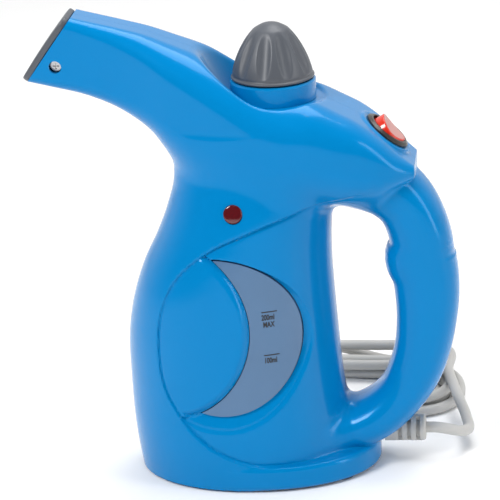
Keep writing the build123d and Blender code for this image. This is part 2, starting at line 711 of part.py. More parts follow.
PARTS = {
    "housing_left": housing_left, "housing_right": housing_right, "housing_screws": housing_screws.part,
    "nozzle_screw": nozzle_screw.part, "base_cover": base_cover.part, "rubber_feet": rubber_feet.part,
    "base_screws": base_screws.part, "nozzle_face": nozzle_face.part, "nozzle_seal": nozzle_seal.part,
    "nozzle_duct": nozzle_duct.part, "tank": tank, "tank_seal": tank_seal, "heater_plate": heater_plate,
    "clamp_ring": clamp_ring, "heating_element": heating_element.part, "element_pins": element_pins.part,
    "thermostat": thermostat.part, "thermal_fuse": thermal_fuse.part, "boiling_cup": boiling_cup.part,
    "steam_riser": steam_riser, "steam_hose": steam_hose, "filler_collar": filler_collar.part,
    "cap_gasket": cap_gasket, "cap_plug": cap_plug, "cap_knob": cap_knob.part,
    "relief_poppet": relief_poppet.part, "relief_spring": relief_spring.part, "switch_body": switch_body,
    "switch_rocker": switch_rocker, "switch_contact": switch_contact, "switch_terminals": switch_terminals,
    "indicator_lens": indicator_lens, "indicator_lamp": indicator_lamp, "strain_relief": strain_relief.part,
    "cord_clamp": cord_clamp.part, "power_cord": power_cord, "cord_lead": cord_lead, "plug_body": plug_body.part,
    "plug_pins": plug_pins.part, "wire_live": wire_live, "wire_switched": wire_switched,
    "wire_neutral": wire_neutral,
}
for name, part in PARTS.items():
    part.label = name
    export_step(part, f"parts/{name}.step")
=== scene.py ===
"""Looks for the handheld garment steamer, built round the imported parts.

Lengths are millimetres in the row frame: nozzle to -X, handle to +X, marked side to -Y, +Z up.
"""

import json
import math

import bmesh
import bpy
import numpy as np
from mathutils import Matrix, Vector
from mathutils.bvhtree import BVHTree


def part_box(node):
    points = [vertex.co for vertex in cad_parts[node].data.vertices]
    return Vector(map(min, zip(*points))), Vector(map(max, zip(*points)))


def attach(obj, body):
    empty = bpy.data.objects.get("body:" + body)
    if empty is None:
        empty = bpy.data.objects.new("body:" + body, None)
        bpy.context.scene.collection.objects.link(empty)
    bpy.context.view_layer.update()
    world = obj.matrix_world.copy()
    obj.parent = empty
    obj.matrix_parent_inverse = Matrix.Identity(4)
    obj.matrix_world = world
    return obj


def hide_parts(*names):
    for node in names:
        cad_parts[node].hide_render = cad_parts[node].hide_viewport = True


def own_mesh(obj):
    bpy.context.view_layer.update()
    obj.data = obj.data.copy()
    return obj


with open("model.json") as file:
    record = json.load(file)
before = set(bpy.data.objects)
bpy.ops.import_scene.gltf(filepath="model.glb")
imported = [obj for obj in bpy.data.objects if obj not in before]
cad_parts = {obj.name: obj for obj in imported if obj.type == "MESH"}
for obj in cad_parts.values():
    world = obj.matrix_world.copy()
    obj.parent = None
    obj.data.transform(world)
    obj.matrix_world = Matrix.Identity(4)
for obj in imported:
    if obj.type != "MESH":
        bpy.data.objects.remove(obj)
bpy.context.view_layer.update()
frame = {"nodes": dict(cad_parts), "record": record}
MM = 0.001


def middle(node):
    """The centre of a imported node's box, in millimetres."""
    low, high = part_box(node)
    return (low + high) / 2 / MM


# ---------------------------------------------------------------- form of the blue housing

# height, front x, rear x, half width
BODY = np.array([
    (0, -61.5, 50.5, 44.0), (20, -64.0, 47.0, 44.5), (45, -65.0, 43.5, 43.8), (80, -63.5, 41.0, 42.8),
    (95, -60.0, 40.2, 41.8), (110, -54.5, 39.7, 40.2), (125, -47.0, 40.0, 38.4), (140, -41.0, 41.5, 36.2),
    (152, -37.6, 43.0, 33.4), (163, -37.4, 44.0, 30.5), (174, -40.5, 44.0, 27.0),
])
# x, low z, high z, half width, upper corner radius, lower corner radius
UPPER = np.array([
    (-114, 206.5, 244.0, 12.7, 4.2, 4.5), (-95, 202.0, 239.3, 13.0, 4.6, 5.0),
    (-75, 196.5, 234.3, 14.2, 6.0, 7.0), (-60, 189.5, 230.6, 16.2, 8.5, 9.5),
    (-47, 179.5, 227.0, 19.6, 12.0, 14.0), (-36, 167.0, 222.8, 23.6, 15.5, 19.0),
    (-20, 153.0, 216.2, 28.2, 19.0, 24.0), (-6, 147.0, 208.3, 31.6, 20.0, 26.0),
    (6, 143.0, 200.6, 33.6, 20.0, 27.0), (20, 140.0, 196.2, 34.6, 20.0, 27.0),
    (34, 139.0, 194.2, 34.4, 19.0, 27.0), (46, 140.0, 188.6, 32.8, 17.0, 22.0),
    (58, 143.0, 181.9, 29.6, 13.5, 16.0), (68, 146.5, 173.7, 26.0, 10.5, 11.0),
    (76, 150.5, 165.6, 21.5, 7.2, 7.0), (83, 154.0, 159.5, 16.0, 2.6, 2.6),
])
# centre x, centre z, half depth, half width, from the tail down to the foot
HANDLE = np.array([
    (58, 151, 16.0, 19.5), (68, 146.5, 15.6, 19.0), (76.5, 138.5, 15.0, 18.0), (82, 127, 15.2, 17.2),
    (84.0, 118, 15.8, 16.8), (83.6, 110, 17.8, 16.6), (85.8, 100, 16.7, 16.4), (86.5, 88, 16.0, 16.4),
    (85.8, 76, 15.1, 16.4), (83.8, 63, 14.2, 16.5), (79.3, 49, 13.4, 16.9), (71.5, 36, 12.2, 17.6),
    (62, 27, 12.2, 19.0), (50, 21, 12.4, 20.5), (38, 18, 12.4, 21.0),
])
# The long C-shaped edge between the outer band and the side panel: x, z, closed behind the handle
BAND = np.array([
    (96, 160), (60, 151), (26, 142), (2, 134), (-20, 123), (-36, 108), (-44, 91), (-46, 72), (-44, 54),
    (-35, 37), (-21, 23), (-4, 15), (24, 12), (60, 12), (130, 12), (130, 160),
])
# The window is one circle less another, which bounds the leaf-shaped panel: centre in x and z, radius
WINDOW_CENTRE, WINDOW_RADIUS = (-14.0, 79.9), 40.2
BITE_CENTRE, BITE_RADIUS = (-46.0, 83.5), 46.7
# The foot's half length and half width, and its low and high z
FOOT = (61.0, 45.0, 1.0, 13.0)
FOOT_EDGE = 2.4
WALL = 2.2
PARTING = 0.06
# The dished pocket round the cap: height of its deck and radius
CAP_X = middle("cap_knob").x
DECK, POCKET = 192.2, 24.5
# The switch's seat in the sloping tail, with its own x across the slope and z out of it
TILT = math.radians(39.3)
SEAT = Vector((68.9, 0, 173.8))
SEAT_X = Vector((math.cos(TILT), 0, -math.sin(TILT)))
SEAT_Z = Vector((math.sin(TILT), 0, math.cos(TILT)))
SEAT_RADIUS, BOSS_RADIUS, SWITCH_BORE = 12.9, 14.4, 11.05
# The nozzle's mouth: its centre, the way it blows and the way down its plate
MOUTH, MOUTH_OUT, MOUTH_DOWN = Vector((-94.5, 0, 220.0)), Vector((-0.802, 0, 0.597)), (-0.597, 0, -0.802)
MOUTH_PLANE = (MOUTH, (0, 1, 0), MOUTH_DOWN, MOUTH_OUT)
# The signal lens leans with the shoulder
LENS = middle("indicator_lens")
LENS_UP, LENS_OUT = (0, 0.27, 0.963), (0, -0.963, 0.27)


def curve(table, column, at):
    """A smooth line through one column of a table, held flat past both ends."""
    xs, ys = table[:, 0], table[:, column]
    gaps = np.diff(xs)
    rise = np.diff(ys) / gaps
    slope = np.empty_like(ys)
    slope[1:-1] = (rise[:-1] * gaps[1:] + rise[1:] * gaps[:-1]) / (gaps[1:] + gaps[:-1])
    slope[0], slope[-1] = rise[0], rise[-1]
    i = np.clip(np.searchsorted(xs, at) - 1, 0, len(xs) - 2)
    h = gaps[i]
    t = np.clip((at - xs[i]) / h, 0, 1)
    return (ys[i] * (1 + 2 * t) * (1 - t) ** 2 + slope[i] * h * t * (1 - t) ** 2
            + ys[i + 1] * t * t * (3 - 2 * t) + slope[i + 1] * h * t * t * (t - 1))


def blend(a, b, k):
    """Union of two forms with a fillet about k wide."""
    h = np.clip(0.5 + 0.5 * (b - a) / k, 0, 1)
    return b * (1 - h) + a * h - k * h * (1 - h)


def carve(a, b, k):
    """Form a less form b, with the edge between them rounded over k."""
    return -blend(-a, b, k)


def step(value, low, high):
    """Rises smoothly from 0 at low to 1 at high."""
    t = np.clip((value - low) / (high - low), 0, 1)
    return t * t * (3 - 2 * t)


def oval(x, y, a, b):
    """Distance outside an ellipse, near enough close to its edge."""
    q = np.sqrt((x / a) ** 2 + (y / b) ** 2) + 1e-6
    return (q - 1) * q / (np.sqrt((x / a ** 2) ** 2 + (y / b ** 2) ** 2) + 1e-6)


BODY_TOP, TAIL_END = 174.0, 82.6


def body_form(x, y, z):
    """The tank body: an oval column."""
    front, rear, width = (curve(BODY, column, z) for column in (1, 2, 3))
    side = oval(x - (front + rear) / 2, y, (rear - front) / 2, width)
    return np.maximum(side, z - BODY_TOP)


def upper_form(x, y, z):
    """The nozzle, shoulder and tail: a long form with rounded corners, cut square behind."""
    low, high, width, top, bottom = (curve(UPPER, column, x) for column in (1, 2, 3, 4, 5))
    centre = (low + high) / 2
    corner = np.where(z > centre, top, bottom)
    across = np.abs(y) - width + corner
    up = np.abs(z - centre) - (high - low) / 2 + corner
    flat = np.minimum(np.maximum(across, up), 0)
    box = flat + np.hypot(np.maximum(across, 0), np.maximum(up, 0)) - corner
    return np.maximum(box, x - TAIL_END)


def chain(points, count):
    """Resamples a table of points by a smooth line."""
    own = np.concatenate([[0], np.cumsum(np.hypot(*np.diff(points[:, :2], axis=0).T))])
    table = np.column_stack([own, points])
    at = np.linspace(0, own[-1], count)
    return np.column_stack([curve(table, column + 1, at) for column in range(points.shape[1])])


def sheet(function, size=0.4):
    xs, zs = np.arange(-120, 112, size), np.arange(-6, 252, size)
    table = function(xs[:, None], zs[None, :])

    def look(x, z):
        u = np.clip((x - xs[0]) / size, 0, len(xs) - 1.001)
        v = np.clip((z - zs[0]) / size, 0, len(zs) - 1.001)
        i, j = u.astype(int), v.astype(int)
        u, v = u - i, v - j
        return ((table[i, j] * (1 - u) + table[i + 1, j] * u) * (1 - v)
                + (table[i, j + 1] * (1 - u) + table[i + 1, j + 1] * u) * v)

    return look


HANDLE_LINE = chain(HANDLE, 90)


def along(line, x, z):
    """Distance to a line in the XZ plane, and the line's other columns at the nearest point."""
    shape = np.broadcast(x, z).shape
    best = np.full(shape, 1e9)
    extra = [np.zeros(shape) for column in range(line.shape[1] - 2)]
    for start, end in zip(line, line[1:]):
        dx, dz = end[0] - start[0], end[1] - start[1]
        t = np.clip(((x - start[0]) * dx + (z - start[1]) * dz) / (dx * dx + dz * dz), 0, 1)
        gap = np.hypot(x - start[0] - t * dx, z - start[1] - t * dz)
        nearer = gap < best
        best = np.where(nearer, gap, best)
        for column, values in enumerate(extra):
            values[nearer] = (start[column + 2] + t * (end[column + 2] - start[column + 2]))[nearer]
    return best, extra


handle_gap = sheet(lambda x, z: along(HANDLE_LINE, x, z)[0])
handle_depth = sheet(lambda x, z: along(HANDLE_LINE, x, z)[1][0])
handle_width = sheet(lambda x, z: along(HANDLE_LINE, x, z)[1][1])


HANDLE_SQUARE = 2.35


def handle_form(x, y, z):
    """The grip: a squared oval swept down the handle's line."""
    gap, depth, width = handle_gap(x, z), handle_depth(x, z), handle_width(x, z)
    q = ((gap / depth) ** HANDLE_SQUARE + (np.abs(y) / width) ** HANDLE_SQUARE) ** (1 / HANDLE_SQUARE)
    return (q - 1) * np.minimum(depth, width)


def inside(polygon, x, z):
    """Signed distance in the XZ plane, positive inside the polygon."""
    closed = np.vstack([polygon, polygon[:1]])
    gap, _ = along(closed, x, z)
    hit = np.zeros(np.broadcast(x, z).shape, bool)
    for (ax, az), (bx, bz) in zip(closed, closed[1:]):
        if az != bz:
            hit ^= ((az > z) != (bz > z)) & (x < (bx - ax) * (z - az) / (bz - az) + ax)
    return np.where(hit, gap, -gap)


BAND_LINE = chain(BAND[:-2], 70)
BAND_AREA = np.vstack([BAND_LINE, BAND[-2:]])


PANEL_DEPTH, LEAF_RISE, GROOVE_DEPTH = 1.35, 0.65, 0.45
BEVEL_DEPTH, RIM_DEPTH, LEAF_DEPTH, LEAF_WIDTH = 2.4, 0.8, 2.6, 3.6


def relief(x, z):
    """How far the side panel and the window's surround are sunk below the outer form."""
    within = inside(BAND_AREA, x, z)
    bite = BITE_RADIUS - np.hypot(x - BITE_CENTRE[0], z - BITE_CENTRE[1])
    dx, dz = x - WINDOW_CENTRE[0], z - WINDOW_CENTRE[1]
    reach = np.hypot(dx, dz)
    turn = np.arctan2(dz, dx)
    # The bevel round the window is narrow at its top end and wide at its foot.
    surround = 0.6 + 3.1 * step(-turn, -1.2, -0.1) + 3.6 * step(-turn, 0.4, 1.5)
    ledge = np.clip((reach - WINDOW_RADIUS) / surround, 0, 1)
    rim = np.exp(-((reach - WINDOW_RADIUS - surround) / 0.9) ** 2) * step(-turn, -0.3, 0.3)
    bevel = (BEVEL_DEPTH * (1 - ledge) ** 0.7 + RIM_DEPTH * rim) * step(-bite, -1.0, 1.0)
    fall = np.clip(1 - bite / LEAF_WIDTH, 0, 1) ** 1.5
    leaf_edge = LEAF_DEPTH * fall * step(bite, -0.5, 0.5) * (reach < WINDOW_RADIUS + 4)
    leaf = step(bite, -0.2, 1.0)
    sunk = (PANEL_DEPTH - LEAF_RISE * leaf) * step(within, -0.35, 0.75)
    groove = GROOVE_DEPTH * np.exp(-((within - 0.8) / 0.55) ** 2)
    fade = 1 - step(x, 34, 62)
    return (sunk + groove) * fade + np.maximum(bevel, leaf_edge) * step(within, 0.0, 2.0)


sunken = sheet(relief, 0.3)


def skin(x, y, z):
    """The outer form of the housing: negative inside."""
    form = blend(body_form(x, y, z), upper_form(x, y, z), 9.0)
    form = blend(form, handle_form(x, y, z), 7.0 - 5.9 * step(x, 64.0, 77.0))
    form = form + sunken(x, z) * step(np.abs(y), 6.0, 16.0)
    length, width, low, high = FOOT
    rim = oval(x, y, length, width) + FOOT_EDGE
    up = np.abs(z - (low + high) / 2) - (high - low) / 2 + FOOT_EDGE
    foot = np.minimum(np.maximum(rim, up), 0) + np.hypot(np.maximum(rim, 0), np.maximum(up, 0)) - FOOT_EDGE
    form = blend(form, foot, 1.0)
    out = np.hypot(x - CAP_X, y)
    dish = np.maximum(out - POCKET - 0.45 * (z - DECK), DECK - z)
    form = carve(form, dish, 3.0)
    across = np.hypot((x - SEAT.x) * SEAT_X.x + (z - SEAT.z) * SEAT_X.z, y)
    up = (x - SEAT.x) * SEAT_Z.x + (z - SEAT.z) * SEAT_Z.z
    boss = np.maximum(across - BOSS_RADIUS, np.abs(up + 5.0) - 5.0)
    form = blend(form, boss, 2.2)
    form = carve(form, np.maximum(across - SEAT_RADIUS, -up), 0.8)
    return np.maximum(form, low - z)


def hollow(x, y, z):
    """The space inside the housing's wall."""
    return skin(x, y, z) + WALL


def surface(field, low, high, size):
    """A closed mesh of where a field is zero: vertices and quads."""
    axes = [np.arange(a, b + size, size) for a, b in zip(low, high)]
    x, y, z = axes[0][:, None, None], axes[1][None, :, None], axes[2][None, None, :]
    value = np.broadcast_to(field(x, y, z), tuple(len(a) for a in axes)).astype(np.float32)
    value = np.pad(value[1:-1, 1:-1, 1:-1], 1, constant_values=1.0)
    within = value < 0
    cells = tuple(n - 1 for n in value.shape)
    corners = [(i, j, k) for i in (0, 1) for j in (0, 1) for k in (0, 1)]
    count = sum(within[i:i + cells[0], j:j + cells[1], k:k + cells[2]].astype(np.int8) for i, j, k in corners)
    active = (count > 0) & (count < 8)
    number = np.full(cells, -1, np.int64)
    at = np.argwhere(active)
    number[active] = np.arange(len(at))
    place, crossings = np.zeros((len(at), 3)), np.zeros(len(at))
    for axis in range(3):
        for corner in corners:
            if corner[axis]:
                continue
            other = tuple(1 if n == axis else c for n, c in enumerate(corner))
            a, b = value[tuple((at + corner).T)], value[tuple((at + other).T)]
            cross = (a < 0) != (b < 0)
            t = np.where(cross, a / np.where(cross, a - b, 1), 0)
            place += np.where(cross[:, None], np.array(corner) + t[:, None] * (np.array(other) - corner), 0)
            crossings += cross
    points = np.array([a[0] for a in axes]) + size * (at + place / crossings[:, None])
    quads = []
    for axis in range(3):
        u, v = (axis + 1) % 3, (axis + 2) % 3
        first = [slice(1, -1)] * 3
        second = [slice(1, -1)] * 3
        first[axis], second[axis] = slice(0, -1), slice(1, None)
        a, b = within[tuple(first)], within[tuple(second)]
        for outward in (True, False):
            here = np.argwhere((a != b) & (a == outward))
            here[:, u] += 1
            here[:, v] += 1
            ring = []
            for du, dv in [(1, 1), (0, 1), (0, 0), (1, 0)]:
                cell = here.copy()
                cell[:, u] -= du
                cell[:, v] -= dv
                ring.append(number[tuple(cell.T)])
            quads.append(np.column_stack(ring if outward else ring[::-1]))
    return points, np.vstack(quads)


def settle(points, field, rounds=3):
    """Slides points on to the exact zero of a field."""
    for _ in range(rounds):
        value = field(*points.T)
        slope = np.column_stack([
            field(*(points + offset).T) - field(*(points - offset).T) for offset in np.eye(3) * 0.15
        ]) / 0.3
        move = value[:, None] * slope / np.maximum((slope ** 2).sum(1), 0.2)[:, None]
        length = np.linalg.norm(move, axis=1, keepdims=True)
        points = points - move * np.minimum(1, 0.5 / np.maximum(length, 1e-6))
    return points


def mesh_object(name, points, faces):
    """A mesh object from points in millimetres."""
    mesh = bpy.data.meshes.new(name)
    mesh.from_pydata((np.asarray(points) * MM).tolist(), [], [list(map(int, f)) for f in faces])
    mesh.validate()
    obj = bpy.data.objects.new(name, mesh)
    bpy.context.scene.collection.objects.link(obj)
    return obj


def smooth(obj, angle=32):
    """Shades smoothly, keeping edges sharper than the angle."""
    obj.data.polygons.foreach_set("use_smooth", np.ones(len(obj.data.polygons), bool))
    obj.data.set_sharp_from_angle(angle=math.radians(angle))
    obj.data.update()
    return obj


def prism(outline, plane, low, high):
    """A closed prism: outline points in a plane (origin, u, v, normal), from low to high along its normal."""
    origin, u, v, n = (np.array(a, float) for a in plane)
    flat = np.array([origin + a * u + b * v for a, b in outline])
    points = np.vstack([flat + low * n, flat + high * n])
    count = len(flat)
    faces = [tuple(range(count))[::-1], tuple(range(count, 2 * count))]
    faces += [(i, (i + 1) % count, count + (i + 1) % count, count + i) for i in range(count)]
    return points, faces


def circle(radius, centre=(0, 0), count=128):
    """Points round a circle."""
    turns = [2 * math.pi * i / count for i in range(count)]
    return [(centre[0] + radius * math.cos(t), centre[1] + radius * math.sin(t)) for t in turns]


def cut(obj, shapes, operation="DIFFERENCE"):
    """Cuts closed shapes out of a mesh and applies the result."""
    for points, faces in shapes:
        tool = mesh_object("cutter", points, faces)
        fix = bmesh.new()
        fix.from_mesh(tool.data)
        bmesh.ops.recalc_face_normals(fix, faces=fix.faces)
        fix.to_mesh(tool.data)
        fix.free()
        before = len(obj.data.vertices)
        for solver in ("MANIFOLD", "EXACT"):
            change = obj.modifiers.new("cut", "BOOLEAN")
            change.object, change.operation, change.solver = tool, operation, solver
            result = bpy.data.meshes.new_from_object(obj.evaluated_get(bpy.context.evaluated_depsgraph_get()))
            obj.modifiers.remove(change)
            if len(result.vertices) and len(result.vertices) != before:
                break
        obj.data = result
        bpy.data.objects.remove(tool)
    return obj


UP = ((0, 0, 0), (1, 0, 0), (0, 1, 0), (0, 0, 1))
SIDE = ((0, 0, 0), (1, 0, 0), (0, 0, 1), (0, -1, 0))


def box(low, high):
    """A closed box between two corners."""
    outline = [(low[0], low[1]), (high[0], low[1]), (high[0], high[1]), (low[0], high[1])]
    return prism(outline, UP, low[2], high[2])


def crescent():
    """The window's outline: one arc less the other, in x and z."""
    gap = Vector(BITE_CENTRE) - Vector(WINDOW_CENTRE)
    base = math.atan2(gap.y, gap.x)
    d, r, s = gap.length, WINDOW_RADIUS, BITE_RADIUS
    near = math.acos((d * d + r * r - s * s) / (2 * d * r))
    far = math.acos((d * d + s * s - r * r) / (2 * d * s))
    outer = np.linspace(base + near, base + 2 * math.pi - near, 140)
    inner = np.linspace(base + math.pi + far, base + math.pi - far, 90)[1:-1]
    points = [(WINDOW_CENTRE[0] + r * math.cos(t), WINDOW_CENTRE[1] + r * math.sin(t)) for t in outer]
    return points + [(BITE_CENTRE[0] + s * math.cos(t), BITE_CENTRE[1] + s * math.sin(t)) for t in inner]


# The base cover closes the housing from below; its edge is an oval
COVER_LENGTH, COVER_WIDTH, COVER_TOP = 58.6, 42.6, 3.5
COLLAR_BORE, CORD_BORE = 19.1, 6.85
# Screw wells in the far half: x and z
WELLS = [(-57, 20), (-31, 172), (-30, 211), (48, 172), (84.5, 118), (81, 56)]
WELL_RADIUS, NOSE_RADIUS, LENS_BORE = 3.3, 3.1, 4.65

grid = 0.75
points, quads = surface(skin, (-113, -48, -1.5), (106, 3.5, 243), grid)
points = settle(points, skin, 2)
inner, inner_quads = surface(hollow, (-113, -48, -1.5), (106, 2.0, 243), grid * 1.6)
inner = settle(inner, hollow, 2)
quads = np.vstack([quads, inner_quads[:, ::-1] + len(points)])
points = np.vstack([points, inner])
around = np.linspace(0, 2 * math.pi, 161)[:-1]
rest = [(COVER_LENGTH * math.cos(t), COVER_WIDTH * math.sin(t)) for t in around]
cord_plane = ((63, 0, middle("strain_relief").z), (0, 1, 0), (0, 0, 1), (1, 0, 0))
holes = [
    prism(rest, UP, -5, COVER_TOP),
    prism(circle(COLLAR_BORE, (CAP_X, 0)), UP, 180, 230),
    prism(circle(SWITCH_BORE), (SEAT, SEAT_X, (0, 1, 0), SEAT_Z), -25, 25),
    prism(crescent(), SIDE, -70, 70),
    prism([(-60, -60), (60, -60), (60, 60), (-60, 60)], MOUTH_PLANE, 0, 60),
    prism(circle(CORD_BORE), cord_plane, -20, 40),
]
nose = middle("nozzle_screw")
left = mesh_object("housing_skin_left", points, quads)
cut(left, [box((-130, -60, -5), (130, -PARTING, 260))], "INTERSECT")
cut(left, holes + [
    prism(circle(NOSE_RADIUS, (nose.x, nose.z), 64), SIDE, 9, 70),
    prism(circle(LENS_BORE, count=64), (LENS, (1, 0, 0), LENS_UP, LENS_OUT), -8, 12),
])
right = mesh_object("housing_skin_right", points * (1, -1, 1), quads[:, ::-1])
cut(right, [box((-130, PARTING, -5), (130, 60, 260))], "INTERSECT")
cut(right, holes + [prism(circle(WELL_RADIUS, well, 64), SIDE, -70, -10) for well in WELLS])
for obj, node in ((left, "housing_left"), (right, "housing_right")):
    smooth(obj)
    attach(obj, "housing")
    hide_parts(node)

# ---------------------------------------------------------------- cap knob

# The knob's outline: length along it, radius, height above its lower edge
KNOB = np.array([
    (0, 17.0, 1.4), (1.4, 17.0, 0.0), (4.0, 19.9, 0.0), (4.9, 20.4, 0.4), (5.6, 20.4, 1.0),
    (6.0, 20.1, 1.25), (6.3, 19.75, 1.5), (8.0, 19.6, 3.0), (11.0, 19.0, 6.0), (14.0, 18.0, 9.0),
    (17.0, 16.75, 12.0), (20.0, 15.3, 14.9), (23.0, 13.7, 17.6), (26.0, 12.0, 20.1), (29.0, 10.2, 22.3),
    (31.5, 8.5, 24.1), (34.0, 6.4, 25.4), (37.0, 3.6, 26.7), (40.6, 0.0, 27.25),
])
SKIRT_TOP, DOME_TOP = 6.3, 40.4
# Ten flutes: each is a round cutter whose axis leans with the dome, through a radius and a height
FLUTE_PITCH, FLUTE_START, FLUTE_SQUARED = 36, 98, 27.0
FLUTE_AXIS, FLUTE_OUT = (19.3, 217.6), (0.897, 0.443)


def knob():
    """The fluted screw cap, a turned form with the flutes pressed into it."""
    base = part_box("cap_knob")[0].z / MM
    turns = 360
    at = np.concatenate([np.linspace(0, SKIRT_TOP, 40), np.linspace(SKIRT_TOP, DOME_TOP, 140)[1:]])
    radius, height = curve(KNOB, 1, at), base + curve(KNOB, 2, at)
    points = []
    axis, out = np.array(FLUTE_AXIS), np.array(FLUTE_OUT)
    for turn in range(turns):
        angle = math.radians(turn * 360 / turns)
        offset = (turn * 360 / turns + FLUTE_START + FLUTE_PITCH / 2) % FLUTE_PITCH - FLUTE_PITCH / 2
        level, side = radius * math.cos(math.radians(offset)), radius * math.sin(math.radians(offset))
        depth = (level - axis[0]) * out[0] + (height - axis[1]) * out[1]
        wall = -np.sqrt(np.maximum(FLUTE_SQUARED - side ** 2, 0))
        pressed = np.minimum(blend(depth, wall, 0.5) - depth, 0)
        move = np.where(side ** 2 < FLUTE_SQUARED, pressed, 0) * step(at, 6.5, 9.0)
        level, z = level + move * out[0], height + move * out[1]
        turned = np.array([math.cos(math.radians(offset)), math.sin(math.radians(offset))])
        r, s = level * turned[0] + side * turned[1], side * turned[0] - level * turned[1]
        points.append(np.column_stack([CAP_X + r * math.cos(angle) - s * math.sin(angle),
                                       r * math.sin(angle) + s * math.cos(angle), z]))
    rows = len(at)
    points = np.vstack(points)
    faces = []
    for turn in range(turns):
        a, b = turn * rows, (turn + 1) % turns * rows
        faces += [(a + i, b + i, b + i + 1, a + i + 1) for i in range(rows - 1)]
    faces.append([t * rows + rows - 1 for t in range(turns)])
    faces.append([t * rows for t in range(turns)][::-1])
    return mesh_object("cap_knob_fluted", points, faces)


cap = smooth(knob(), 40)
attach(cap, "cap")
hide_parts("cap_knob")

# ---------------------------------------------------------------- nozzle plate, rocker and signal lens


def rounded(across, up, soft):
    """Joins a side distance and an end distance into one form with its edge softened."""
    return np.minimum(np.maximum(across + soft, up + soft), 0) + np.hypot(
        np.maximum(across + soft, 0), np.maximum(up + soft, 0)) - soft


def panel(a, b, half_a, half_b, corner):
    """Signed distance to a rectangle with rounded corners."""
    return rounded(np.abs(a) - half_a, np.abs(b) - half_b, corner)


def placed(points, origin, u, v, n):
    """Points in a piece's own axes moved to the row frame."""
    return np.array(origin) + points @ np.array([u, v, n])


def plate_form(a, b, c):
    """The nozzle's face plate, slightly crowned, with the root that sits in the mouth."""
    c = c + (a * a * 1.6 + b * b) / 700
    face = rounded(panel(a, b, 12.9, 19.1, 5.0), np.abs(c - 2.05) - 1.6, 0.9)
    root = rounded(panel(a, b, 10.2, 16.2, 3.0), np.abs(c + 0.7) - 1.3, 0.2)
    return np.minimum(face, root)


STEAM_HOLE = 0.9
fine = 0.32
own, quads = surface(plate_form, (-14, -20.5, -3.2), (14, 20.5, 5.0), fine)
own = settle(own, plate_form, 2)
plate = mesh_object("nozzle_plate", placed(own, *MOUTH_PLANE), quads)
bores = [(3.4 * (i - 1.5), -8.5 + 3.6 * (j - 0.5)) for i in range(4) for j in range(2)]
cut(plate, [prism(circle(STEAM_HOLE, bore, 28), MOUTH_PLANE, -6, 8) for bore in bores])
smooth(plate, 35)
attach(plate, "housing")
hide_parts("nozzle_face")

# The rocker at rest: its axle, and its own x and z tipped by half its travel
REST = math.radians(12.0)
PIVOT = SEAT - SEAT_Z * 2.5
REST_X = SEAT_X * math.cos(REST) - SEAT_Z * math.sin(REST)
REST_Z = SEAT_X * math.sin(REST) + SEAT_Z * math.cos(REST)


# Radii of the rocker, of the pale painted highlight on its top, and of the signal lens
ROCKER_RADIUS, PAINTED_HIGHLIGHT_RADIUS, LENS_RADIUS = 9.3, 7.45, 4.45


def saddle(a):
    """Height of the rocker's hollowed top above its axle."""
    return 28.0 - np.sqrt(np.maximum(22.6 ** 2 - a * a, 1))


def rocker_form(a, b, c):
    """The round rocker, hollowed between its two pressing ends."""
    wall = np.hypot(a, b) - ROCKER_RADIUS + 0.165 * np.maximum(c, 0) + 0.18 * np.maximum(-c, 0)
    return np.maximum(rounded(wall, c - np.minimum(6.8, saddle(a)), 0.45), -4.4 - c)


own, quads = surface(rocker_form, (-10.5, -10.5, -5.4), (10.5, 10.5, 8), fine)
own = settle(own, rocker_form, 2)
rocker = smooth(mesh_object("rocker_cap", placed(own, PIVOT, REST_X, (0, 1, 0), REST_Z), quads), 50)
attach(rocker, "rocker")
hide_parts("switch_rocker")


def painted_highlight_form(a, b, c):
    """A pale patch on the rocker's hollowed top, coloured as a painted highlight for the sheen of its glossy
    top.
    """
    top = saddle(a)
    return np.maximum(np.maximum(np.hypot(a, b) - PAINTED_HIGHLIGHT_RADIUS, c - top - 0.12), top - 0.5 - c)


# The painted highlight is a thin pale sheet laid on the rocker's hollowed top
own, quads = surface(painted_highlight_form, (-8, -8, 4.2), (8, 8, 7.6), fine)
own = settle(own, painted_highlight_form, 1)
painted_highlight = smooth(mesh_object("rocker_painted_highlight", placed(own, PIVOT, REST_X, (0, 1, 0), REST_Z), quads), 50)
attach(painted_highlight, "rocker")


def dome_form(a, b, c):
    """The signal lens's crowned face."""
    out = np.hypot(a, b)
    return np.maximum(rounded(out - LENS_RADIUS, c - 1.25 + out * out / 34, 0.3), 0.35 - c)


own, quads = surface(dome_form, (-5, -5, 0), (5, 5, 1.9), 0.22)
own = settle(own, dome_form, 2)
on_shoulder = placed(own, (LENS.x, -35.2, 143.5), (1, 0, 0), LENS_UP, LENS_OUT)
dome = smooth(mesh_object("lens_dome", on_shoulder, quads), 40)
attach(dome, "housing")

# ---------------------------------------------------------------- relief spring


def relief_coil():
    """The valve's spring, a copy of the imported coil hung on the cap."""
    node = frame["nodes"]["relief_spring"]
    mesh = bpy.data.meshes.new_from_object(node)
    mesh.transform(node.matrix_world)
    obj = bpy.data.objects.new("relief_coil", mesh)
    bpy.context.scene.collection.objects.link(obj)
    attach(obj, "cap")
    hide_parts("relief_spring")
    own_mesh(obj)
    return obj


coil = relief_coil()

# ---------------------------------------------------------------- level marks on the tank

tank_tree = BVHTree.FromObject(frame["nodes"]["tank"], bpy.context.evaluated_depsgraph_get())


def on_tank(x, z, lift):
    """The tank's marked face at x and z, in millimetres, stood off by lift."""
    hit = tank_tree.ray_cast(Vector((x, -70, z)) * MM, Vector((0, 1, 0)))
    return (hit[0] + hit[1] * lift * MM) / MM if hit[0] else Vector((x, -40, z))


def print_on_tank(name, flat_points, faces):
    """A flat print laid on the tank's marked face."""
    points = [on_tank(x, z, 0.14) for x, z in flat_points]
    obj = mesh_object(name, points, faces)
    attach(obj, "housing")
    return obj


